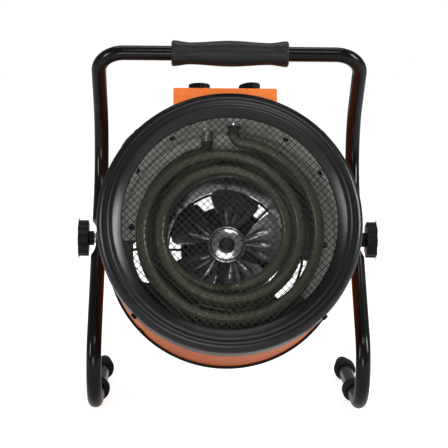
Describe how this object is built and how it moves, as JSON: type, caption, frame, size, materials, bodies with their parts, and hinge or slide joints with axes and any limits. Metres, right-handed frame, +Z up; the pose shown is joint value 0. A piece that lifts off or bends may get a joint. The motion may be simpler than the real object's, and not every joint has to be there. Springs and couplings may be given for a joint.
{
  "type": "forced air heater",
  "caption": "Round electric forced air heater: drum head with diagonal wire net and spiral element, tilting in a bent tube stand with a grip.",
  "frame": {"origin": "on the floor, in the middle of the box round the stand and head", "axes": "+Z up, -Y the way the warm air leaves, +X to the right of someone looking into the outlet"},
  "size_m": [0.3296, 0.2831, 0.4],
  "materials": {
    "stand_paint": "gloss black paint",
    "bezel_paint": "satin black paint",
    "net_paint": "semi-gloss black paint",
    "orange_paint": "smooth orange powder coat",
    "galvanised_sheet": "bright galvanised",
    "dark_sheet": "dark semi-gloss",
    "plated_steel": "zinc plated",
    "polished_cap": "polished",
    "element_sheath": "dull olive-grey oxidised steel sheath",
    "ceramic": "matte ceramic",
    "black_plastic": "satin black",
    "grip_plastic": "satin black",
    "foot_rubber": "matte",
    "cord_rubber": "matte sheath"
  },
  "bodies": {
    "stand": {"frame_tube": "stand_paint", "handle_grip": "grip_plastic", "end_plug_left": "black_plastic", "end_plug_right": "black_plastic", "foot_front_left": "foot_rubber", "foot_rear_left": "foot_rubber", "foot_front_right": "foot_rubber", "foot_rear_right": "foot_rubber"},
    "clamp_left": {"clamp_knob_left": "black_plastic", "clamp_stud_left": "plated_steel", "clamp_collar_left": "plated_steel"},
    "clamp_right": {"clamp_knob_right": "black_plastic", "clamp_stud_right": "plated_steel", "clamp_collar_right": "plated_steel"},
    "head": {"body_shell": "orange_paint", "bezel_ring": "bezel_paint", "front_net": "net_paint", "reflector_liner": "galvanised_sheet", "fan_tunnel": "dark_sheet", "rear_trim": "black_plastic", "rear_guard": "net_paint", "pivot_boss_left": "plated_steel", "pivot_boss_right": "plated_steel", "motor": "dark_sheet", "heating_element": "element_sheath", "element_terminal_front": "ceramic", "element_terminal_rear": "ceramic", "element_bracket": "plated_steel", "control_box": "orange_paint", "heat_switch": "black_plastic", "room_thermostat": "plated_steel", "cord_gland": "black_plastic", "cord_lead": "cord_rubber", "cord_coil": "cord_rubber", "cord_tail": "cord_rubber", "cord_tie": "black_plastic", "plug_body": "black_plastic", "plug_pin_a": "plated_steel", "plug_pin_b": "plated_steel"},
    "fan": {"fan_wheel": "dark_sheet", "fan_cap": "polished_cap", "fan_nut": "black_plastic", "fan_shaft": "plated_steel"},
    "heat_dial_body": {"heat_dial": "black_plastic"},
    "thermostat_dial_body": {"thermostat_dial": "black_plastic"}
  },
  "joints": [
    {"name": "head_tilt", "type": "hinge", "parent": "stand", "child": "head", "pos_m": [0, 0.0065, 0.181], "axis": [-1, 0, 0], "range_deg": [-25, 70]},
    {"name": "clamp_left_turn", "type": "hinge", "parent": "stand", "child": "clamp_left", "pos_m": [-0.1453, 0.0065, 0.181], "axis": [-1, 0, 0], "range_deg": [0, 360]},
    {"name": "clamp_right_turn", "type": "hinge", "parent": "stand", "child": "clamp_right", "pos_m": [0.1453, 0.0065, 0.181], "axis": [1, 0, 0], "range_deg": [0, 360]},
    {"name": "fan_spin", "type": "hinge", "parent": "head", "child": "fan", "pos_m": [0, 0.0065, 0.181], "axis": [0, -0.9367, 0.3502], "continuous": true},
    {"name": "heat_dial_turn", "type": "hinge", "parent": "head", "child": "heat_dial_body", "pos_m": [-0.0325, 0.03982, 0.33295], "axis": [0, -0.3502, -0.9367], "range_deg": [0, 180]},
    {"name": "thermostat_dial_turn", "type": "hinge", "parent": "head", "child": "thermostat_dial_body", "pos_m": [0.0235, 0.03982, 0.33295], "axis": [0, -0.3502, -0.9367], "range_deg": [-90, 180]}
  ]
}
